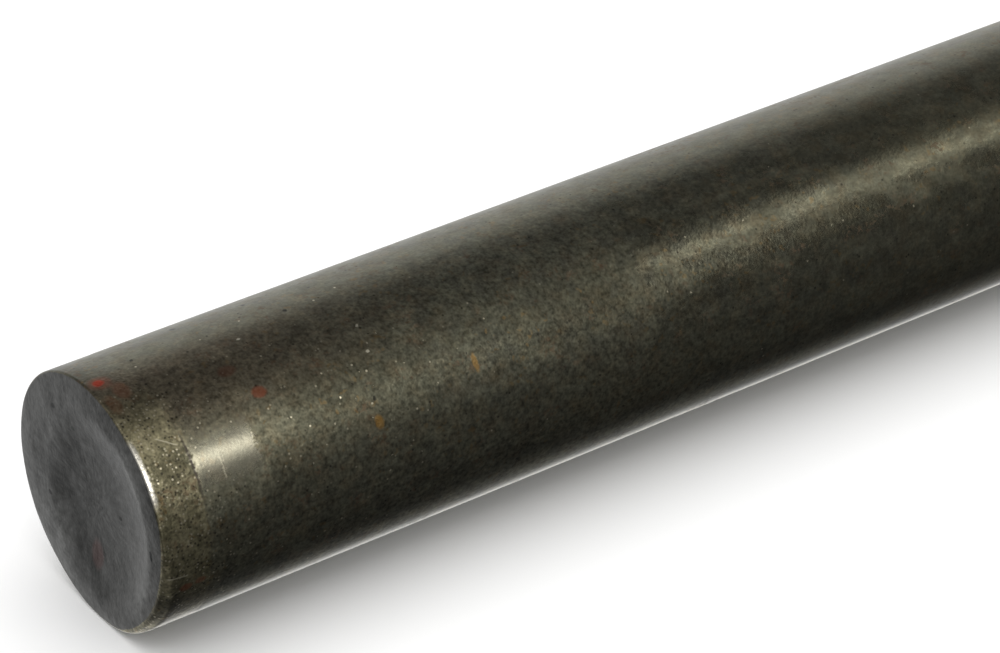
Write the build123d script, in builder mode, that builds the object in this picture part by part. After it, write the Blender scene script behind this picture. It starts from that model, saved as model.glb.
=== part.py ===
"""A length of round steel bar, lying on its side.

One piece of stock: a plain round section with no joint, no hole and no separate part.
The end at +X was cropped in a shear: it stands highest on a broad ring, sinks inside it to
a shallow dish that lies nearer the +Y side, and falls a little outside it to a crisp rim.
On the lower +Y side the shear drew the rim in over a short slope. A faint ring round the
wall marks how far back the blade's seat gripped it: from there on it is a hair slimmer.
The end at -X was sawn square and deburred.

Millimetres. +X runs along the bar towards the cropped end, +Z is up.
The origin is under the middle of the bar, on the level floor that it lies on.
Angles round the axis are in degrees from level on the +Y side, up towards +Z.
"""

import math
import os

from build123d import *

# ---- driving dimensions, mm ----
bar_diameter = 20.0
bar_length = 300.0

# cropped end: a turned crown, a little off the bar's axis, so that the rim falls unevenly
crown_offset = 0.25
crown_offset_angle = 215.0
crest_radius = 7.4  # how far out the highest ring reaches, from the crown's own axis
crown_slope = ((8.2, 0.035), (9.2, 0.115), (10.0, 0.20))  # (radius, fall)
crown_run_out = (10.5, 0.26)  # outside the bar's wall everywhere

# the side that the shear drew down, turned about an axis of its own
drawn_offset = 2.9
drawn_offset_angle = 152.0
drawn_slope = ((12.10, 0.0), (12.42, 0.22), (12.68, 0.55), (12.84, 0.95))  # (radius, back)
drawn_run_out = (13.2, 2.6)  # outside the bar's wall

# the stretch of wall that the shear's seat gripped
grip_length = 4.05
grip_draw = 0.035  # how much smaller its radius is
grip_step = 0.15  # length of the step, which shows as the ring

# the dish in the cropped end
dish_depth = 0.85
dish_radius = 5.9  # of its mouth
dish_offset = 1.2  # how far its lowest point is off the bar's axis
dish_offset_angle = 8.0
dish_edge_round = 1.2

# sawn end
deburr = 0.4

# where the turned surfaces' seam lies, in degrees back from straight up
seam_turn = 360 / 84

r = bar_diameter / 2
x_crop = bar_length / 2
x_sawn = -bar_length / 2


def off_axis(distance, angle):
    """A point in the cropped end's plane, by distance and direction from the bar's axis."""
    a = math.radians(angle)
    return (x_crop, distance * math.cos(a), r + distance * math.sin(a))


# The section plane holds the bar's axis. Its x is the bar's +X and its y is the radius to
# the seam.
across = Vector(0, -1, 0).rotate(Axis.X, seam_turn)
section = Plane(origin=(0, 0, r), x_dir=(1, 0, 0), z_dir=across)
bar_axis = Axis((0, 0, r), (1, 0, 0))



def across_from(distance, angle):
    """A section plane and its axis, off the bar's own axis, with the seam across from it."""
    centre = off_axis(distance, angle)
    plane = Plane(origin=centre, x_dir=(1, 0, 0), z_dir=-across)
    return plane, Axis(centre, (1, 0, 0))


crown_section, crown_axis = across_from(crown_offset, crown_offset_angle)
drawn_section, drawn_axis = across_from(drawn_offset, drawn_offset_angle)

# A ball of this radius sinks a dish of the stated depth and mouth.
dish_ball = (dish_radius**2 + dish_depth**2) / (2 * dish_depth)
dish_x, dish_y, dish_z = off_axis(dish_offset, dish_offset_angle)

with BuildPart() as round_bar:
    # the bar, with the sawn end's edge broken and the gripped stretch drawn in
    with BuildSketch(section):
        with BuildLine():
            Polyline(
                (x_crop, 0),
                (x_sawn, 0),
                (x_sawn, r - deburr),
                (x_sawn + deburr, r),
                (x_crop - grip_length - grip_step, r),
                (x_crop - grip_length, r - grip_draw),
                (x_crop, r - grip_draw),
                close=True,
            )
        make_face()
    revolve(axis=bar_axis)

    # the crown, which rounds the cropped end over to its rim
    with BuildSketch(crown_section):
        with BuildLine():
            slope = Spline(
                (0, crest_radius),
                *[(-fall, radius) for radius, fall in crown_slope],
                (-crown_run_out[1], crown_run_out[0]),
                tangents=[(0, 1), (-0.12, 1)],
            )
            Polyline(
                slope @ 1,
                (-crown_run_out[1], r + 4),
                (-bar_length - 1, r + 4),
                (-bar_length - 1, 0),
                (0, 0),
                (0, crest_radius),
            )
        make_face()
    revolve(axis=crown_axis, mode=Mode.INTERSECT)

    # the drawn-down side
    with BuildSketch(drawn_section):
        with BuildLine():
            draw = Spline(
                *[(-back, radius) for radius, back in drawn_slope],
                (-drawn_run_out[1], drawn_run_out[0]),
            )
            Polyline(
                draw @ 1,
                (-drawn_run_out[1], r + 8),
                (-bar_length - 1, r + 8),
                (-bar_length - 1, 0),
                (1, 0),
                (1, drawn_slope[0][0] - 1.2),
                draw @ 0,
            )
        make_face()
    revolve(axis=drawn_axis, mode=Mode.INTERSECT)

    # the dish
    with Locations((dish_x + dish_ball - dish_depth, dish_y, dish_z)):
        Sphere(dish_ball, mode=Mode.SUBTRACT)
    mouth = round_bar.faces().sort_by(Axis.X)[-1].inner_wires()[0].edges()
    fillet(mouth, dish_edge_round)

round_bar.part.label = "round_bar"

os.makedirs("parts", exist_ok=True)
export_step(round_bar.part, "parts/round_bar.step")

print("volume mm3", round(round_bar.part.volume, 1))
print("mass kg at 7850 kg/m3", round(round_bar.part.volume * 7.85e-6, 4))
print("box", round_bar.part.bounding_box())
for face in round_bar.faces().sort_by(Axis.X):
    box = face.bounding_box()
    print(face.geom_type, "x", round(box.min.X, 3), round(box.max.X, 3), "area", round(face.area, 2))
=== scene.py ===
"""Looks for the round steel bar. Metres, in the row's frame: +X towards the cropped end, +Z up."""

import math

import bmesh
import bpy
import numpy as np
from mathutils import Matrix, Vector


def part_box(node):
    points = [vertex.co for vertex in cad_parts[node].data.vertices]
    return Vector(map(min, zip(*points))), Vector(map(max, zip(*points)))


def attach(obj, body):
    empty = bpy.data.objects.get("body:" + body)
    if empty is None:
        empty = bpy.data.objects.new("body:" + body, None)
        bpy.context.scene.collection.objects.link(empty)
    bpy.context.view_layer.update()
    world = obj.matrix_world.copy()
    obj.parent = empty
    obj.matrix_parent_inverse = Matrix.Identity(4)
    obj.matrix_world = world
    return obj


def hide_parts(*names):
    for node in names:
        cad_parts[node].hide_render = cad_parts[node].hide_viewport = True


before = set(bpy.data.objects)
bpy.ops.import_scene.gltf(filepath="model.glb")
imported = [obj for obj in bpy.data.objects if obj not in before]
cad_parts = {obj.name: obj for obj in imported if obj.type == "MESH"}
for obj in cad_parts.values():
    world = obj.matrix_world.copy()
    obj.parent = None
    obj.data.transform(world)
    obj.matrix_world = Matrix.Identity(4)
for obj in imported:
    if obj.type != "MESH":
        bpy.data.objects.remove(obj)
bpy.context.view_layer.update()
low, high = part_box("round_bar")

MM = 0.001
R = 9.97  # the wall's radius in mm, inside the CAD's box all round
AXIS_Z = (low.z + high.z) / 2 / MM
X_CROP = high.x / MM
X_SAWN = low.x / MM

# ------------------------------------------------------------------ shape, in mm
# y and w are across the bar from its axis, w upwards. d is measured back from the cropped
# end's highest ring.

CROWN_Y, CROWN_W = -0.205, -0.143  # the crown's middle
GRIP = 4.05  # the faint ring, behind the cropped end
DISH_Y, DISH_W = 2.0, 0.0
DISH_A, DISH_B = 6.6, 7.3  # its half widths across and up
DISH_DEPTH = 0.76
ROLL_Y, ROLL_W = -2.56, 1.36  # the axis that the drawn-down side is turned on
ROLL_R = 12.1
ROLL_IN = 0.80
ROLL_LONG = 1.5


def lattice(p, seed):
    """A repeatable value from -1 to 1 for each whole-number point."""
    p = p.astype(np.int64)
    h = (
        p[..., 0] * 374761393
        + p[..., 1] * 668265263
        + p[..., 2] * 2147483647
        + seed * 974634777
    ) & 0xFFFFFFFF
    h = ((h ^ (h >> 13)) * 1274126177) & 0xFFFFFFFF
    h = (h ^ (h >> 16)) & 0xFFFFFFFF
    return h / 2147483647.5 - 1.0


def noise(p, size, seed=0):
    """Smooth noise from about -1 to 1, with lumps of that size."""
    q = np.asarray(p, float) / size + 1000.0
    base = np.floor(q)
    t = q - base
    t = t * t * t * (t * (t * 6 - 15) + 10)
    out = 0.0
    for i in (0, 1):
        for j in (0, 1):
            for k in (0, 1):
                weight = (
                    (t[..., 0] if i else 1 - t[..., 0])
                    * (t[..., 1] if j else 1 - t[..., 1])
                    * (t[..., 2] if k else 1 - t[..., 2])
                )
                out = out + weight * lattice(base + np.array([i, j, k]), seed)
    return out


def ramp(x, a, b):
    t = np.clip((x - a) / (b - a), 0, 1)
    return t * t * (3 - 2 * t)


def smooth_max(a, b, k):
    h = np.clip(1 - np.abs(a - b) / k, 0, 1)
    return np.maximum(a, b) + h * h * k / 4


def face_fall(y, w):
    """How far the cropped end lies behind its highest ring."""
    rho = np.hypot(y - CROWN_Y, w - CROWN_W)
    fall = 0.16 * (np.clip(rho - 7.8, 0, None) / 2.2) ** 1.6
    u = (y - DISH_Y) / DISH_A
    v = (w - DISH_W) / DISH_B
    turn = np.arctan2(v, u)
    q2 = (u * u + v * v) / (1 + 0.13 * np.cos(turn + 2.6) - 0.05 * np.cos(2 * turn + 0.6)) ** 2
    bowl = DISH_DEPTH * (1 - q2**1.45) * (1 + 0.20 * u + 0.12 * v)
    bowl = smooth_max(bowl, np.zeros_like(bowl), 0.26)
    p = np.stack([y, w, 0 * y], -1)
    waver = (
        0.045 * noise(p, 4.2, 1)
        + 0.024 * noise(p, 1.9, 2)
        + 0.012 * noise(p, 0.9, 3)
        + 0.006 * noise(p, 0.5, 4)
    )
    return fall + bowl + 0.075 + waver * ramp(rho, 10.2, 9.2)


def wall_radius(x, phi):
    """The wall's radius. It is a hair oval and wavy, always inside R."""
    d = X_CROP - x
    p = np.stack([x, R * np.cos(phi), R * np.sin(phi)], -1)
    wave = (
        0.010 * noise(p * np.array([0.35, 1, 1]), 9.0, 11)
        + 0.004 * noise(p * np.array([0.6, 1, 1]), 3.5, 12)
        + 0.0018 * noise(p * np.array([0.8, 1, 1]), 1.4, 13)
    )
    ring = 0.014 * ramp(d, GRIP + 0.5, GRIP) + 0.006 * np.exp(-(((d - GRIP) / 0.10) ** 2))
    return R - 0.017 + wave - ring


def outside_side(x, y, w, phi):
    """Above nought outside the wall and the side that the shear drew down."""
    d = X_CROP - x
    wall = np.hypot(y, w) - wall_radius(x, phi)
    drawn = ROLL_IN * np.clip(1 - d / ROLL_LONG, 0, None) ** 2.2
    roll = np.hypot(y - ROLL_Y, w - ROLL_W) - (ROLL_R + ROLL_IN - drawn)
    # the edge is worn where it faces up and out
    off = (np.degrees(phi) - 41.0 + 180) % 360 - 180
    worn = 0.10 * np.exp(-((off / 14.0) ** 4)) * np.clip(1 - d / 0.55, 0, None) ** 1.5
    return smooth_max(wall + worn, roll, 0.10)


REACH = 7.0  # how far behind the end the point is that its rings are seen from


def solve_near_end(theta, phi, sides=True, face=True):
    """Points where rays from the axis leave the end: its face, its side and their edge."""
    ct, st = np.cos(theta), np.sin(theta)
    lo = np.zeros(np.broadcast(theta, phi).shape)
    hi = lo + 20.0
    cp, sp = np.cos(phi), np.sin(phi)
    for _ in range(34):
        t = (lo + hi) / 2
        x = X_CROP - REACH + t * ct
        y, w = t * st * cp, t * st * sp
        side = outside_side(x, y, w, phi + 0 * t)
        end = x - (X_CROP - face_fall(y, w))
        outside = smooth_max(side, end, 0.16)
        hi = np.where(outside > 0, t, hi)
        lo = np.where(outside > 0, lo, t)
    return x, y, w


AROUND = 256
turn = np.arange(AROUND) / AROUND * 2 * np.pi - np.pi / 2  # the seam is underneath

rings = []  # each is (x, y, w) arrays, from the cropped end's middle to the sawn end's

# where the edge of the cropped end lies, for each direction
edge = np.full(AROUND, math.atan2(9.9, REACH))
for _ in range(12):
    e_rho = np.linspace(8.6, 10.0, 57)[:, None]
    e_y, e_w = e_rho * np.cos(turn), e_rho * np.sin(turn)
    e_fall = face_fall(e_y, e_w)
    over = outside_side(X_CROP - e_fall, e_y, e_w, turn + 0 * e_rho) > 0
    first = np.argmax(over, axis=0)
    rho_edge = np.where(over.any(axis=0), e_rho[first, 0], 9.95)
    edge = np.arctan2(rho_edge, REACH - e_fall[first, np.arange(AROUND)])
    break
edge = sum(np.roll(edge, k) for k in range(-2, 3)) / 5

N_FACE, N_EDGE, N_SIDE = 42, 16, 22
near, far = math.radians(1.5), math.radians(1.7)
end_of_side = math.atan2(R - 0.02, REACH - 3.3)
steps = []
for i in range(1, N_FACE + 1):
    steps.append(np.arctan(np.tan(edge - near) * i / N_FACE))
for i in range(1, N_EDGE + 1):
    steps.append(edge - near + (near + far) * i / N_EDGE)
for i in range(1, N_SIDE + 1):
    k = i / N_SIDE
    steps.append((edge + far) * (1 - k) + end_of_side * k)
TT = np.array(steps)
PP = np.broadcast_to(turn, TT.shape)
gx, gy, gw = solve_near_end(TT, PP)
for i in range(len(TT)):
    rings.append((gx[i], gy[i], gw[i]))

last = float(gx[-1].mean())
back = np.concatenate(
    [
        np.arange(X_CROP - last + 0.15, 5.0, 0.12),
        np.arange(5.1, 13.0, 0.35),
        np.arange(13.0, 92.0, 1.05),
        np.linspace(92.0, X_CROP - X_SAWN - 2.0, 116),
    ]
)
for d in back:
    x = np.full(AROUND, X_CROP - d)
    rr = wall_radius(x, turn)
    rings.append((x, rr * np.cos(turn), rr * np.sin(turn)))

# sawn end: wall, broken edge, then flat with saw marks
for x_in, inset in (
    (1.0, 0.0),
    (0.48, 0.0),
    (0.40, 0.02),
    (0.30, 0.10),
    (0.20, 0.20),
    (0.10, 0.30),
    (0.03, 0.38),
    (0.0, 0.46),
):
    x = np.full(AROUND, X_SAWN + x_in)
    rr = wall_radius(x, turn) - inset
    rings.append((x, rr * np.cos(turn), rr * np.sin(turn)))
for rho in np.linspace(9.3, 0.35, 26):
    y, w = rho * np.cos(turn), rho * np.sin(turn)
    rings.append((np.full(AROUND, X_SAWN), y, w))

co = np.array([np.stack(r, -1) for r in rings])  # rings, around, 3
n_rings = len(co)

# A saw leaves faint straight steps. They go inwards, so that the end stays in its box.
sawn = np.arange(n_rings) >= n_rings - 26
ys, ws = co[sawn, :, 1], co[sawn, :, 2]
across = ys * math.cos(0.38) + ws * math.sin(0.38) + 0.0022 * (ws * 1.0) ** 2
strokes = np.stack([across, across * 0, across * 0], -1)
depth = 0.5 + 0.5 * noise(strokes, 0.55, 21)
depth = 0.020 * depth + 0.014 * (0.5 + 0.5 * noise(strokes, 1.7, 22))
co[sawn, :, 0] += depth

verts = np.concatenate(
    [
        co.reshape(-1, 3),
        [[co[0, :, 0].mean(), 0, 0]],
        [[co[-1, :, 0].mean(), 0, 0]],
    ]
)
first_pole, last_pole = len(verts) - 2, len(verts) - 1
verts = verts * MM
verts[:, 2] += AXIS_Z * MM

idx = np.arange(n_rings * AROUND).reshape(n_rings, AROUND)
nxt = np.roll(idx, -1, axis=1)
quads = np.stack([idx[:-1], idx[1:], nxt[1:], nxt[:-1]], -1).reshape(-1, 4)
caps = [(int(first_pole), int(a), int(b)) for a, b in zip(idx[0], nxt[0])]
caps += [(int(last_pole), int(b), int(a)) for a, b in zip(idx[-1], nxt[-1])]

mesh = bpy.data.meshes.new("bar_surface")
mesh.from_pydata(verts.tolist(), [], quads.tolist() + caps)
mesh.update()
bm = bmesh.new()
bm.from_mesh(mesh)
bmesh.ops.recalc_face_normals(bm, faces=bm.faces[:])
bm.to_mesh(mesh)
bm.free()
mesh.shade_smooth()
surface = bpy.data.objects.new("bar_surface", mesh)
bpy.context.scene.collection.objects.link(surface)

# ------------------------------------------------------------------ map for the textures
me = surface.data
uv = me.uv_layers.new(name="OFBake")
ring_of = np.append(np.repeat(np.arange(n_rings), AROUND), [-1, -2])
step_of = np.append(np.tile(np.arange(AROUND), n_rings), [-1, -1])
n_face_rings = N_FACE + 4
sawn_start = n_rings - 26
half = (X_CROP + X_SAWN) / 2 + 40.0  # the wall is laid out in two strips, cut here


def lay(face):
    """Map places for one face's corners."""
    vs = list(face.vertices)
    rg = [ring_of[v] for v in vs]
    st = [step_of[v] for v in vs]
    top = max(rg)
    if -1 in rg or (-2 not in rg and top < n_face_rings):
        centre, size = (0.115, 0.885), 0.0112
    elif -2 in rg or min(rg) >= sawn_start:
        centre, size = (0.345, 0.885), 0.0104
    else:
        centre = None
    places = []
    if centre is not None:
        for v in vs:
            c = me.vertices[v].co
            places.append(
                (centre[0] + c.y / MM * size, centre[1] + (c.z / MM - AXIS_Z) * size)
            )
        return places
    wraps = max(st) - min(st) > AROUND / 2
    xs = [me.vertices[v].co.x / MM for v in vs]
    strip = 0 if sum(xs) / len(xs) > half else 1
    for v, s, x in zip(vs, st, xs):
        s = s + AROUND if wraps and s < AROUND / 2 else s
        round_ = s / AROUND
        if strip == 0:
            # Rings near the cropped end go by their order, so that the rim keeps its width.
            d = X_CROP - x
            along = 0.012 + 0.975 * arc[ring_of[v]]
            places.append((along, 0.315 + 0.445 * round_))
        else:
            along = 0.006 + 0.988 * (half - x) / (half - X_SAWN)
            places.append((along, 0.008 + 0.292 * round_))
    return places


# distance along the wall from the first ring that isn't on the cropped end's face
mid = co.mean(axis=1)
reach = np.hypot(np.diff(mid[:, 0]), np.diff(np.hypot(co[:, :, 1], co[:, :, 2]).mean(1)))
arc = np.concatenate([[0], np.cumsum(reach)])
arc = (arc - arc[n_face_rings - 1]).clip(0)
at_half = np.interp(-half, -mid[:, 0], arc)
arc = (arc / at_half).clip(0, 1)

places = []
for face in me.polygons:
    places.extend(lay(face))
uv.uv.foreach_set("vector", np.array(places, np.float32).ravel())


# ------------------------------------------------------------------ node helpers
class Tree:
    def __init__(self, tree):
        self.t = tree
        self.t.nodes.clear()

    def node(self, kind, **props):
        n = self.t.nodes.new("ShaderNode" + kind)
        for k, v in props.items():
            setattr(n, k, v)
        return n

    def put(self, socket, value):
        if isinstance(value, bpy.types.NodeSocket):
            self.t.links.new(value, socket)
        elif value is not None:
            socket.default_value = value

    def math(self, op, a, b=None, c=None, clamp=False):
        n = self.node("Math", operation=op, use_clamp=clamp)
        for i, v in enumerate((a, b, c)):
            if v is not None:
                self.put(n.inputs[i], v)
        return n.outputs[0]

    def add(self, a, b):
        return self.math("ADD", a, b)

    def sub(self, a, b):
        return self.math("SUBTRACT", a, b)

    def mul(self, a, b):
        return self.math("MULTIPLY", a, b)

    def vec(self, op, a, b=None, scale=None):
        n = self.node("VectorMath", operation=op)
        self.put(n.inputs[0], a)
        if b is not None:
            self.put(n.inputs[1], b)
        if scale is not None:
            self.put(n.inputs["Scale"], scale)
        return n.outputs["Value"] if op in ("LENGTH", "DOT_PRODUCT", "DISTANCE") else n.outputs["Vector"]

    def split(self, v):
        n = self.node("SeparateXYZ")
        self.put(n.inputs[0], v)
        return n.outputs

    def join(self, x, y, z):
        n = self.node("CombineXYZ")
        for s, v in zip(n.inputs, (x, y, z)):
            self.put(s, v)
        return n.outputs[0]

    def step(self, x, a, b, smooth=True, to=(0.0, 1.0)):
        n = self.node("MapRange", interpolation_type="SMOOTHSTEP" if smooth else "LINEAR")
        self.put(n.inputs["Value"], x)
        n.inputs["From Min"].default_value = a
        n.inputs["From Max"].default_value = b
        n.inputs["To Min"].default_value = to[0]
        n.inputs["To Max"].default_value = to[1]
        return n.outputs["Result"]

    def noise(self, v, scale, detail=2.0, rough=0.5, distort=0.0, kind="FBM"):
        n = self.node("TexNoise", noise_dimensions="3D", noise_type=kind)
        self.put(n.inputs["Vector"], v)
        n.inputs["Scale"].default_value = scale
        n.inputs["Detail"].default_value = detail
        n.inputs["Roughness"].default_value = rough
        n.inputs["Distortion"].default_value = distort
        return n.outputs

    def cells(self, v, scale, feature="F1", random=1.0):
        n = self.node("TexVoronoi", voronoi_dimensions="3D", feature=feature)
        self.put(n.inputs["Vector"], v)
        n.inputs["Scale"].default_value = scale
        n.inputs["Randomness"].default_value = random
        return n.outputs

    def mix(self, f, a, b):
        n = self.node("Mix", data_type="RGBA", blend_type="MIX")
        self.put(n.inputs[0], f)
        for s, v in ((n.inputs[6], a), (n.inputs[7], b)):
            self.put(s, (*v, 1.0) if isinstance(v, tuple) and len(v) == 3 else v)
        return n.outputs[2]

    def blend(self, kind, f, a, b):
        n = self.node("Mix", data_type="RGBA", blend_type=kind)
        self.put(n.inputs[0], f)
        for s, v in ((n.inputs[6], a), (n.inputs[7], b)):
            self.put(s, (*v, 1.0) if isinstance(v, tuple) and len(v) == 3 else v)
        return n.outputs[2]

    def lerp(self, f, a, b):
        n = self.node("Mix", data_type="FLOAT")
        self.put(n.inputs[0], f)
        self.put(n.inputs[2], a)
        self.put(n.inputs[3], b)
        return n.outputs[0]

    def curve(self, x, stops, interpolation="LINEAR"):
        """A colour ramp: stops are (place, grey or colour)."""
        n = self.node("ValToRGB")
        n.color_ramp.interpolation = interpolation
        self.put(n.inputs[0], x)
        e = n.color_ramp.elements
        while len(e) > 1:
            e.remove(e[-1])
        for i, (p, c) in enumerate(stops):
            s = e[0] if i == 0 else e.new(p)
            s.position = p
            s.color = (c, c, c, 1) if isinstance(c, (int, float)) else (*c, 1)
        return n.outputs[0]

    def smaller(self, *values):
        out = values[0]
        for v in values[1:]:
            out = self.math("MINIMUM", out, v)
        return out

    def larger(self, *values):
        out = values[0]
        for v in values[1:]:
            out = self.math("MAXIMUM", out, v)
        return out

    def bump(self, height, strength, distance, normal=None):
        n = self.node("Bump")
        n.inputs["Strength"].default_value = strength
        n.inputs["Distance"].default_value = distance
        self.put(n.inputs["Height"], height)
        if normal is not None:
            self.put(n.inputs["Normal"], normal)
        return n.outputs[0]


def material(name):
    m = bpy.data.materials.new(name)
    m.use_nodes = True
    t = Tree(m.node_tree)
    out = t.node("OutputMaterial")
    p = t.node("BsdfPrincipled")
    t.t.links.new(p.outputs[0], out.inputs["Surface"])
    # row-frame place, in mm from the bar's axis, with x as the distance back from the crest
    c = t.node("TexCoord").outputs["Object"]
    mm = t.vec("SCALE", c, scale=1000.0)
    mm = t.vec("ADD", mm, (-X_CROP, 0.0, -AXIS_Z))
    mm = t.vec("MULTIPLY", mm, (-1.0, 1.0, 1.0))
    return m, t, p, mm


steel, t, bsdf, P = material("bar_steel")
d, y, w = t.split(P)
phi = t.mul(t.math("ARCTAN2", w, y), 180 / math.pi)  # 0 is level on the +Y side
arc_mm = t.mul(phi, math.pi / 180 * 10)
rho = t.vec("LENGTH", t.join(0.0, y, w))


def centred(socket, gain):
    """Noise as a value about nought."""
    return t.mul(t.sub(socket, 0.5), gain)


# ---- zones
ragged = t.noise(P, 1.1, 2.0, 0.6)[0]
ragged_fine = t.noise(P, 3.2, 1.0, 0.6)[0]
grain = t.noise(P, 2.8, 1.0, 0.65)[0]
roll = t.vec("LENGTH", t.join(0.0, t.sub(y, ROLL_Y), t.sub(w, ROLL_W)))
# nearly level parts of the end are its face; the wall's skin goes on over its edge
inside = t.smaller(t.sub(9.82, rho), t.sub(ROLL_R - 0.06, roll))
on_face = t.mul(t.step(t.add(inside, centred(ragged_fine, 0.10)), -0.03, 0.05), t.step(d, 3.0, 2.6))
under = t.step(phi, -40.0, -60.0)
band = t.step(t.add(d, centred(ragged, 1.6)), GRIP + 1.1, GRIP - 0.9)
band = t.mul(band, t.mul(t.step(t.add(phi, centred(ragged, 12.0)), 86.0, 62.0), t.step(phi, -100.0, -60.0)))
crisp_band = t.step(t.add(d, t.add(centred(ragged_fine, 0.5), centred(ragged, 0.7))), GRIP + 0.25, GRIP - 0.25)
low_side = t.step(phi, 34.0, 22.0)
band = t.lerp(low_side, band, t.mul(crisp_band, t.step(phi, -100.0, -60.0)))
sawn_mask = t.step(d, X_CROP - X_SAWN - 0.42, X_CROP - X_SAWN - 0.36)


def box(x, low, high, soft):
    return t.mul(t.step(x, low - soft, low + soft), t.step(x, high + soft, high - soft))


d_ragged = t.add(d, centred(ragged_fine, 0.9))
phi_ragged = t.add(phi, centred(ragged, 8.0))
# a rubbed, smoother patch behind the ring, placed where the lamp's highlight falls: partly wear, partly painted
# highlight
rubbed_highlight_patch = t.mul(
    box(t.add(d, t.add(centred(ragged_fine, 0.9), centred(grain, 0.5))), GRIP + 0.12, 9.2, 0.22), box(t.add(phi_ragged, centred(grain, 9.0)), 28.0, 46.0, 6.5)
)
worn = t.mul(
    t.mul(t.step(t.add(d, centred(ragged, 5.0)), 42.6, 44.2), box(phi_ragged, 8.0, 84.0, 8.0)),
    t.step(t.noise(t.vec("MULTIPLY", P, (0.45, 1.0, 1.0)), 0.55, 2.0, 0.65)[0], 0.30, 0.60),
)

# ---- wall colour
long = t.vec("MULTIPLY", P, (0.30, 1.0, 1.0))
cloud = t.noise(long, 0.16, 1.0, 0.55)[0]
mottle_noise = t.noise(P, 0.75, 2.0, 0.62)
mottle = mottle_noise[0]
fine = t.noise(P, 6.0, 0.0, 0.6)[0]
skin = t.curve(
    mottle,
    [(0.28, (0.158, 0.150, 0.116)), (0.5, (0.186, 0.178, 0.133)), (0.74, (0.216, 0.205, 0.148))],
)
skin = t.mix(t.step(cloud, 0.42, 0.66), skin, (0.190, 0.179, 0.130))
tint = t.split(mottle_noise["Color"])[1]
skin = t.blend("MULTIPLY", 1.0, skin, t.curve(tint, [(0.30, (1.03, 0.98, 0.92)), (0.5, (0.98, 1.0, 0.99)), (0.70, (0.96, 1.01, 1.03))]))
brown_end = t.mul(t.step(phi, 40.0, 66.0), t.mul(t.step(phi, 100.0, 82.0), t.step(d, 30.0, 6.0)))
skin = t.mix(t.mul(brown_end, 0.6), skin, (0.212, 0.170, 0.118))
band_tint = t.mix(t.step(mottle, 0.35, 0.65), (0.185, 0.170, 0.104), (0.290, 0.262, 0.168))
skin = t.mix(t.mul(band, 0.8), skin, band_tint)
grain_mul = t.curve(grain, [(0.26, 0.55), (0.5, 1.0), (0.74, 1.42)])
grain_share = t.mul(t.step(d, 70.0, 35.0, to=(0.45, 1.0)), t.step(phi, 100.0, 72.0, to=(0.35, 1.0)))
grain_share = t.mul(grain_share, t.sub(1.0, t.mul(rubbed_highlight_patch, 0.6)))
skin = t.mix(grain_share, skin, t.blend("MULTIPLY", 1.0, skin, grain_mul))
coarse = t.noise(t.vec("MULTIPLY", P, (0.7, 1.0, 1.0)), 0.9, 1.0, 0.6)[0]
skin = t.blend("MULTIPLY", 1.0, skin, t.curve(coarse, [(0.28, 0.87), (0.5, 1.0), (0.72, 1.14)]))
skin = t.blend("MULTIPLY", 1.0, skin, t.curve(fine, [(0.30, 0.92), (0.5, 1.0), (0.70, 1.09)]))

# painted shade and painted highlight: broad, soft-edged bands darken or lighten the skin, to set how bright the lamp
# highlights and the floor's reflection come out
paint_light_d = t.add(d, centred(ragged, 3.0))
paint_light_phi = t.add(phi, centred(ragged, 7.0))


def paint_light_zone(d0, d1, soft_d, p0, p1, soft_p):
    return t.mul(box(paint_light_d, d0, d1, soft_d), box(paint_light_phi, p0, p1, soft_p))


for zone, k in (
    (paint_light_zone(12.5, 43.5, 4.5, 31.0, 54.0, 9.0), 0.56),
    (paint_light_zone(34.0, 45.5, 4.0, 30.0, 58.0, 9.0), 0.76),
    (t.mul(t.step(paint_light_d, 43.0, 47.0), box(paint_light_phi, 22.0, 42.5, 5.0)), 0.72),
    (t.mul(t.step(paint_light_d, 43.0, 47.0), box(paint_light_phi, 52.0, 64.0, 5.0)), 0.68),
    (t.mul(box(d, -2.0, 1.6, 1.2), t.step(phi, 76.0, 90.0)), 0.62),
    (t.mul(box(d, -2.0, 2.2, 1.2), box(phi, -42.0, -18.0, 5.0)), 0.50),
    (paint_light_zone(1.4, 3.9, 0.8, 32.0, 46.0, 5.0), 0.56),
    (paint_light_zone(3.4, 9.6, 0.8, 13.0, 30.0, 6.0), 1.50),
    (paint_light_zone(-2.0, 3.4, 0.8, 16.0, 30.0, 6.0), 1.20),
    (paint_light_zone(-2.0, 5.0, 1.0, 48.0, 66.0, 6.0), 1.40),
    (paint_light_zone(-2.0, 12.0, 2.0, 46.0, 62.0, 6.0), 1.12),
    (paint_light_zone(-2.0, 5.0, 1.0, -6.0, 12.0, 6.0), 1.18),
    (t.mul(t.step(d, 8.0, 30.0), box(phi, -31.0, -22.0, 4.0)), 1.50),
    (t.mul(t.step(d, 42.0, 56.0), box(phi, -40.0, -33.5, 3.0)), 0.58),
    (t.mul(t.step(d, 12.0, 40.0), box(phi, -58.0, -41.5, 2.5)), 1.70),
):
    skin = t.mix(zone, skin, t.blend("MULTIPLY", 1.0, skin, (k, k, k)))

# brown and red oxide, faint, most of it towards the cropped end
rust_a = t.noise(t.vec("MULTIPLY", P, (0.7, 1.0, 1.0)), 0.50, 2.0, 0.68)[0]
rust_b = t.noise(P, 2.6, 1.0, 0.7)[0]
rust = t.mul(t.step(rust_a, 0.53, 0.70), t.step(rust_b, 0.46, 0.64))
skin = t.mix(t.mul(rust, 0.30), skin, (0.230, 0.120, 0.070))
ochre = t.mul(
    t.step(t.noise(P, 1.7, 1.0, 0.7)[0], 0.60, 0.72), t.step(t.noise(P, 0.33, 0.0)[0], 0.45, 0.62)
)
skin = t.mix(t.mul(ochre, 0.30), skin, (0.30, 0.19, 0.07))
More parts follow.
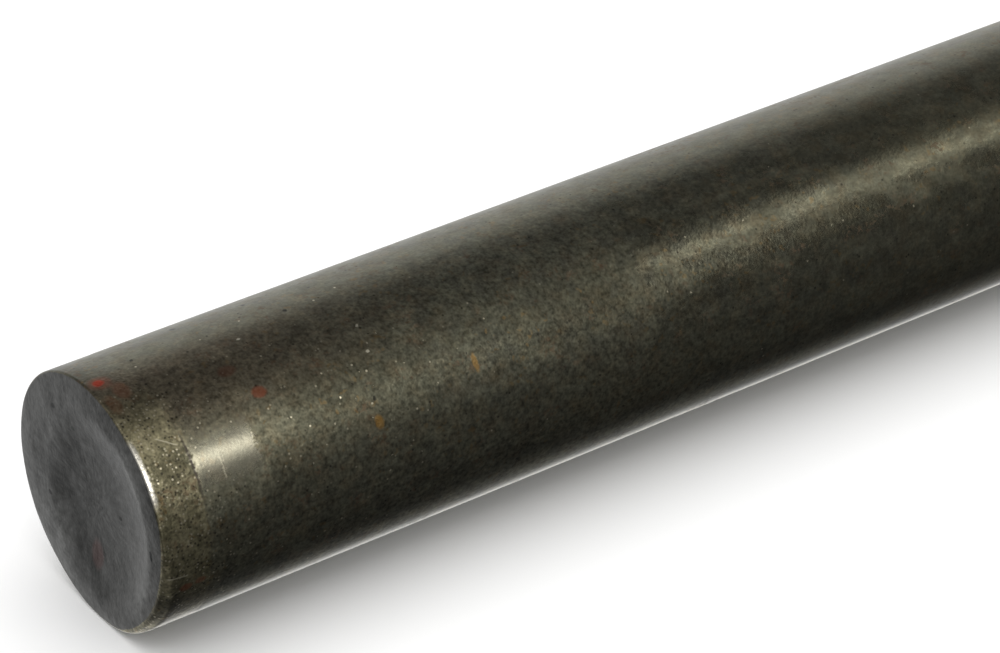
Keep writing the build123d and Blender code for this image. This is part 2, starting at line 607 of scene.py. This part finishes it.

# ---- painted glints (bright gold specks in the colour) and small dark pits
glint_cells = t.cells(P, 3.6)
glint_random = t.split(glint_cells["Color"])[0]
glint_many = t.mul(t.step(t.add(d, centred(ragged, 5.0)), 7.0, 3.4), t.step(t.add(phi, centred(ragged, 30.0)), 84.0, 62.0))
bunch = t.step(ragged, 0.42, 0.62)
sides = t.mul(t.step(phi, 100.0, 70.0), t.step(phi, -50.0, -20.0))
glint_share = t.add(
    t.mul(glint_many, 0.34),
    t.mul(t.mul(t.step(d, 34.0, 9.0, to=(0.010, 0.12)), bunch), t.add(0.15, t.mul(sides, 0.85))),
)
glint = t.mul(
    t.step(glint_cells["Distance"], 0.46, 0.10), t.math("LESS_THAN", glint_random, glint_share)
)
pit_cells = t.cells(t.vec("ADD", P, (3.1, 7.7, 1.3)), 3.2)
pit_random = t.split(pit_cells["Color"])[1]
pit_share = t.add(t.mul(glint_many, 0.40), t.mul(bunch, 0.08))
pit = t.mul(
    t.step(pit_cells["Distance"], 0.44, 0.14), t.math("LESS_THAN", pit_random, pit_share)
)
skin = t.mix(t.mul(pit, 0.75), skin, (0.035, 0.033, 0.028))
glint = t.mul(glint, t.step(t.split(glint_cells["Color"])[2], 0.0, 1.0, False, (0.20, 1.0)))
# painted glints: the chosen cells are made bright gold in the skin
skin = t.mix(t.mul(glint, 0.85), skin, (0.85, 0.78, 0.60))


# ---- marks: (d, degrees round, half length, half height, mm, colour, strength, roundness)
def mark(d0, phi0, a, b, lean=0.0, rough_edge=0.25, soft=0.35):
    along = t.add(t.sub(d, d0), centred(ragged_fine, rough_edge))
    round_ = t.add(t.sub(arc_mm, phi0 * math.pi / 18), centred(ragged, rough_edge))
    if lean:
        along = t.add(along, t.mul(round_, lean))
    r = t.vec("LENGTH", t.join(t.mul(along, 1 / a), t.mul(round_, 1 / b), 0.0))
    return t.step(r, 1.0 + soft, 1.0 - soft)


RED, BROWN, ORANGE, DARK, PALE = (
    (0.62, 0.035, 0.012), (0.20, 0.085, 0.055), (0.40, 0.22, 0.05), (0.02, 0.02, 0.018), (0.80, 0.76, 0.62),
)
for d0, p0, a, b, lean, colour, k in (
    (1.21, 88.6, 0.42, 0.36, 0.0, RED, 0.95),
    (1.30, 88.2, 0.85, 0.75, 0.0, (0.30, 0.09, 0.05), 0.45),
    (2.2, 80.0, 0.6, 0.9, 0.0, (0.30, 0.10, 0.05), 0.40),
    (1.0, 74.0, 0.5, 0.9, 0.0, (0.28, 0.12, 0.06), 0.35),
    (11.1, 56.2, 0.55, 0.45, 0.0, (0.45, 0.12, 0.06), 0.60),
    (9.8, 70.2, 0.7, 0.5, 0.0, BROWN, 0.55),
    (19.0, 26.8, 0.35, 0.5, 0.0, ORANGE, 0.65),
    (27.9, 35.3, 0.22, 0.7, 0.0, ORANGE, 0.45),
    (2.0, -14.0, 0.5, 0.35, 0.0, (0.40, 0.13, 0.06), 0.5),
    (3.2, -13.0, 0.45, 0.3, 0.0, (0.40, 0.13, 0.06), 0.45),
    (9.66, 111.4, 0.20, 0.22, 0.0, DARK, 0.8),
    (4.66, 95.7, 0.16, 0.16, 0.0, DARK, 0.8),
    (17.0, 91.1, 0.16, 0.18, 0.0, DARK, 0.8),
    (15.4, 109.0, 0.18, 0.20, 0.0, DARK, 0.7),
    (19.2, 36.7, 0.16, 0.18, 0.0, DARK, 0.8),
    (20.7, 68.7, 0.12, 0.12, 0.0, PALE, 0.9),
    (12.3, 83.9, 0.12, 0.12, 0.0, PALE, 0.9),
    (20.3, 56.0, 0.14, 0.12, 0.0, PALE, 0.9),
):
    skin = t.mix(t.mul(mark(d0, p0, a, b, lean), k), skin, colour)


# ---- scratches: from one (d, degrees) to another
def scratch(d0, p0, d1, p1, half):
    ax, ay = d0, p0 * math.pi / 18
    bx, by = d1, p1 * math.pi / 18
    length = math.hypot(bx - ax, by - ay)
    ux, uy = (bx - ax) / length, (by - ay) / length
    rx, ry = t.sub(d, ax), t.sub(arc_mm, ay)
    s = t.add(t.mul(rx, ux), t.mul(ry, uy))
    q = t.math("ABSOLUTE", t.add(t.sub(t.mul(rx, uy), t.mul(ry, ux)), centred(ragged_fine, 0.05)))
    return t.mul(t.step(q, half * 1.5, half * 0.5), box(s, 0.0, length, 0.15))


scratches = t.larger(
    scratch(2.24, 53.3, 3.55, 47.8, 0.05),
    scratch(6.20, 36.8, 6.21, 28.2, 0.07),
    scratch(0.45, -6.3, 2.04, -7.4, 0.06),
)
skin = t.mix(t.mul(scratches, 0.75), skin, (0.70, 0.65, 0.50))

# the ring where the seat gripped shows as a thin dark purplish line
line = box(t.add(d, centred(ragged_fine, 0.12)), GRIP - 0.06, GRIP + 0.10, 0.07)
line = t.mul(line, t.add(0.12, t.mul(box(phi, 26.0, 50.0, 8.0), 0.6)))
skin = t.mix(line, skin, (0.060, 0.048, 0.052))

# ---- wall roughness
rough = t.lerp(t.step(mottle, 0.35, 0.65), 0.33, 0.39)
rough = t.lerp(band, rough, 0.44)
rough = t.lerp(t.step(phi, -5.0, -30.0), rough, 0.29)
rough = t.lerp(t.mul(worn, 0.9), rough, 0.22)
rough = t.lerp(rubbed_highlight_patch, rough, 0.20)
rough = t.lerp(t.mul(rust, 0.5), rough, 0.55)
rough = t.lerp(glint, rough, 0.30)
# painted highlight: the rubbed patch's skin is lightened so that the lamp's highlight there comes out bright
skin = t.mix(t.mul(rubbed_highlight_patch, t.step(d, 3.8, 6.5, to=(0.42, 0.60))), skin, (0.420, 0.400, 0.328))
# painted highlight: the worn rim edge, where it faces up and out, is made near white for the lamp's bright crescent on
# the rounded edge
rim_painted_highlight = t.mul(t.step(t.add(d, centred(ragged_fine, 0.3)), 0.75, 0.45), box(phi_ragged, 28.0, 54.0, 4.0))
skin = t.mix(t.mul(rim_painted_highlight, 0.9), skin, (0.95, 0.92, 0.84))
rough = t.lerp(rim_painted_highlight, rough, 0.27)

# ---- the cropped face
face_noise = t.noise(P, 1.3, 2.0, 0.62)[0]
spoke = t.join(t.mul(rho, 0.8), t.mul(t.math("ARCTAN2", w, y), 9.0), 0.0)
fibre = t.noise(spoke, 1.4, 1.0, 0.65)[0]
face = t.curve(face_noise, [(0.28, (0.104, 0.105, 0.101)), (0.5, (0.136, 0.137, 0.132)), (0.75, (0.174, 0.174, 0.170))])
face = t.blend("MULTIPLY", 1.0, face, t.curve(fibre, [(0.28, 0.93), (0.5, 1.0), (0.72, 1.07)]))
face = t.blend("MULTIPLY", 1.0, face, t.curve(grain, [(0.25, 0.86), (0.5, 1.0), (0.75, 1.14)]))
# painted light and shade on the cropped face: blobs lightened or darkened where the dish's slopes face towards or away
# from the light
for y0, w0, a, b, k in (
    (-5.9, -5.6, 3.2, 3.6, 1.32),
    (-3.9, -3.9, 1.1, 2.4, 1.35),
    (6.4, 6.3, 1.5, 2.8, 1.50),
    (6.9, -5.4, 1.3, 2.4, 1.30),
    (0.0, 6.0, 2.4, 1.6, 0.82),
    (3.0, -5.0, 2.2, 2.4, 0.86),
):
    r = t.vec("LENGTH", t.join(t.mul(t.sub(y, y0), 1 / a), t.mul(t.sub(w, w0), 1 / b), 0.0))
    face = t.mix(t.step(r, 1.5, 0.3), face, t.blend("MULTIPLY", 1.0, face, (k, k, k)))
for y0, w0, a, b, colour, k in (
    (8.24, 0.17, 0.14, 0.42, (0.01, 0.012, 0.012), 0.95),
    (-4.46, 5.99, 0.22, 0.20, (0.03, 0.03, 0.03), 0.75),
    (-3.48, 4.81, 0.18, 0.16, (0.05, 0.05, 0.05), 0.55),
    (-2.04, 5.26, 0.18, 0.20, (0.04, 0.05, 0.04), 0.65),
    (-5.74, -2.20, 0.22, 0.20, (0.03, 0.03, 0.03), 0.70),
    (3.06, 0.15, 0.18, 0.18, (0.03, 0.03, 0.03), 0.75),
    (-0.16, -4.68, 0.7, 1.2, (0.22, 0.12, 0.11), 0.45),
):
    r = t.vec(
        "LENGTH",
        t.join(
            t.mul(t.add(t.sub(y, y0), centred(ragged_fine, 0.2)), 1 / a),
            t.mul(t.add(t.sub(w, w0), centred(ragged, 0.2)), 1 / b),
            0.0,
        ),
    )
    face = t.mix(t.mul(t.step(r, 1.3, 0.7), k), face, colour)

# ---- the sawn face, which is plain
saw = t.add(t.mul(y, math.cos(0.38)), t.mul(w, math.sin(0.38)))
saw = t.add(saw, t.mul(t.mul(w, w), 0.0022))
saw_lines = t.noise(t.join(t.mul(saw, 1.0), t.mul(w, 0.03), 0.0), 3.2, 2.0, 0.7)[0]
sawn = t.curve(saw_lines, [(0.28, (0.20, 0.20, 0.195)), (0.5, (0.30, 0.30, 0.29)), (0.74, (0.40, 0.395, 0.385))])
sawn = t.blend("MULTIPLY", 1.0, sawn, t.curve(mottle, [(0.3, 0.82), (0.7, 1.12)]))

colour = t.mix(on_face, skin, face)
colour = t.mix(sawn_mask, colour, sawn)
rough = t.lerp(on_face, rough, 0.46)
rough = t.lerp(sawn_mask, rough, 0.38)

# ---- fine relief, in mm until the last line
height = t.add(centred(grain, 0.011), centred(fine, 0.004))
calm = t.mul(box(d, GRIP, 9.2, 0.3), box(phi, 28.0, 46.0, 5.0))
height = t.mul(height, t.sub(t.step(d, GRIP + 0.3, GRIP - 0.3, to=(1.0, 1.9)), t.mul(calm, 0.7)))
end_only = t.mul(t.step(inside, -0.03, 0.05), t.step(d, 3.0, 2.6))
height = t.add(height, t.mul(end_only, centred(face_noise, 0.014)))
height = t.mul(height, t.mul(0.001, t.step(d, 80.0, 40.0, to=(0.6, 1.0))))

t.put(bsdf.inputs["Base Color"], colour)
bsdf.inputs["Metallic"].default_value = 1.0
t.put(bsdf.inputs["Roughness"], rough)
t.put(bsdf.inputs["Normal"], t.bump(height, 1.0, 1.0))

surface.data.materials.append(steel)

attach(surface, "root")
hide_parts("round_bar")

# ------------------------------------------------------------------ floor
floor_mesh = bpy.data.meshes.new("studio_floor")
bm = bmesh.new()
bmesh.ops.create_grid(bm, x_segments=2, y_segments=2, size=12.0)
bm.to_mesh(floor_mesh)
bm.free()
floor = bpy.data.objects.new("studio_floor", floor_mesh)
bpy.context.scene.collection.objects.link(floor)
paper = bpy.data.materials.new("studio_paper")
paper.use_nodes = True
ft = Tree(paper.node_tree)
fo = ft.node("OutputMaterial")
fd = ft.node("BsdfDiffuse")
fd.inputs["Color"].default_value = (0.86, 0.86, 0.86, 1)
ft.t.links.new(fd.outputs[0], fo.inputs["Surface"])
floor.data.materials.append(paper)
floor.visible_glossy = False

# ------------------------------------------------------------------ light
# A white room, as the bar mirrors it: white behind and below on the -Y side, dark overhead
# and in front, windows on the +Y side. Diffuse surfaces see it plain white.
world = bpy.data.worlds.new("studio")
bpy.context.scene.world = world
world.use_nodes = True
wt = Tree(world.node_tree)
wo = wt.node("OutputWorld")
direction = wt.node("TexCoord").outputs["Generated"]
dx, dy, dz = wt.split(direction)
DEG = 180 / math.pi
alpha = wt.mul(wt.math("ARCTAN2", dz, dy), DEG)
azimuth = wt.mul(wt.math("ARCTAN2", wt.mul(dx, -1.0), dy), DEG)
elevation = wt.mul(wt.math("ARCSINE", dz), DEG)
beta = wt.mul(wt.math("ARCTAN2", dy, dx), DEG)

ENV = [
    (-180, 0.84), (-140, 1.25), (-128, 1.9), (-114, 0.60), (-107, 0.25), (-98, 0.135), (-80, 0.034),
    (-58, 0.048), (-34, 0.085), (-12, 0.10), (0, 0.123), (10, 0.140), (20, 0.130), (32, 0.088),
    (42, 0.078), (50, 0.085), (60, 0.10), (70, 0.12), (85, 0.155), (98, 0.138), (115, 0.121),
    (128, 0.143), (138, 0.27), (145, 0.60), (152, 0.89), (165, 0.83), (180, 0.76),
]
sky = wt.curve(
    wt.math("MULTIPLY_ADD", alpha, 1 / 360, 0.5), [((a + 180) / 360, e) for a, e in ENV]
)
ENDWAYS = [
    (-180, 1.00), (-90, 1.15), (-75, 1.05), (-62, 0.72), (-48, 0.36), (-34, 0.18),
    (-15, 0.12), (20, 0.15), (60, 0.20), (90, 0.20), (180, 0.90),
]
endways = wt.curve(
    wt.math("MULTIPLY_ADD", beta, 1 / 360, 0.5), [((a + 180) / 360, e) for a, e in ENDWAYS]
)
endways = wt.mix(wt.step(elevation, -5, 25), endways, (0.28, 0.28, 0.28))
sky = wt.mix(wt.step(dx, -0.28, 0.12), sky, endways)


def bell(x, centre, width):
    k = wt.mul(wt.sub(x, centre), 1 / width)
    return wt.math("EXPONENT", wt.mul(wt.mul(k, k), -1.0))


glow = wt.mul(bell(elevation, 45.0, 22.0), wt.mul(wt.step(azimuth, 43, 26), wt.step(azimuth, -80, -40)))
glow = wt.mul(glow, 0.55)
core = wt.mul(bell(elevation, 37.0, 5.8), wt.mul(wt.step(azimuth, 36, 30), wt.step(azimuth, -45, -25)))
core = wt.mul(core, 4.2)
strip = wt.mul(bell(elevation, 43.2, 4.6), wt.mul(wt.step(azimuth, 43, 47), wt.step(azimuth, 88, 70)))
strip = wt.mul(strip, 2.15)
lamps = wt.add(wt.add(glow, core), strip)
lamps = wt.vec("MULTIPLY", wt.join(lamps, lamps, lamps), (1.0, 0.98, 0.91))
sky = wt.vec("ADD", sky, lamps)

mirrored = wt.node("Background")
wt.put(mirrored.inputs["Color"], sky)
mirrored.inputs["Strength"].default_value = 1.0
plain = wt.node("Background")
plain.inputs["Color"].default_value = (1.0, 1.0, 1.0, 1)
plain.inputs["Strength"].default_value = 0.95
rays = wt.node("LightPath").outputs
choose = wt.node("MixShader")
wt.t.links.new(
    wt.math("MAXIMUM", rays["Is Camera Ray"], rays["Is Diffuse Ray"]), choose.inputs[0]
)
wt.t.links.new(mirrored.outputs[0], choose.inputs[1])
wt.t.links.new(plain.outputs[0], choose.inputs[2])
wt.t.links.new(choose.outputs[0], wo.inputs["Surface"])

lamp = bpy.data.lights.new("overhead_softbox", "AREA")
lamp.shape = "RECTANGLE"
lamp.size, lamp.size_y = 2.6, 2.6
lamp.energy = 26.0
softbox = bpy.data.objects.new("overhead_softbox", lamp)
softbox.location = (0.0, 0.0, 1.8)
softbox.visible_camera = False
softbox.visible_glossy = False
bpy.context.scene.collection.objects.link(softbox)

# ------------------------------------------------------------------ camera
camera_data = bpy.data.cameras.new("camera")
camera_data.sensor_width = 36.0
camera_data.lens = 151.2
camera = bpy.data.objects.new("camera", camera_data)
right = Vector((-0.8135, 0.5816, 0.0)).normalized()
forward = Vector((-0.4904, -0.6860, -0.5375)).normalized()
up = right.cross(forward)
at = Vector((0.26860, 0.21611, 0.18099))
camera.matrix_world = Matrix(
    (
        (right.x, up.x, -forward.x, at.x),
        (right.y, up.y, -forward.y, at.y),
        (right.z, up.z, -forward.z, at.z),
        (0, 0, 0, 1),
    )
)
camera_data.clip_start = 0.01
camera_data.clip_end = 60.0
bpy.context.scene.collection.objects.link(camera)
bpy.context.scene.camera = camera
bpy.context.scene.view_settings.view_transform = "Standard"
bpy.context.scene.view_settings.look = "None"
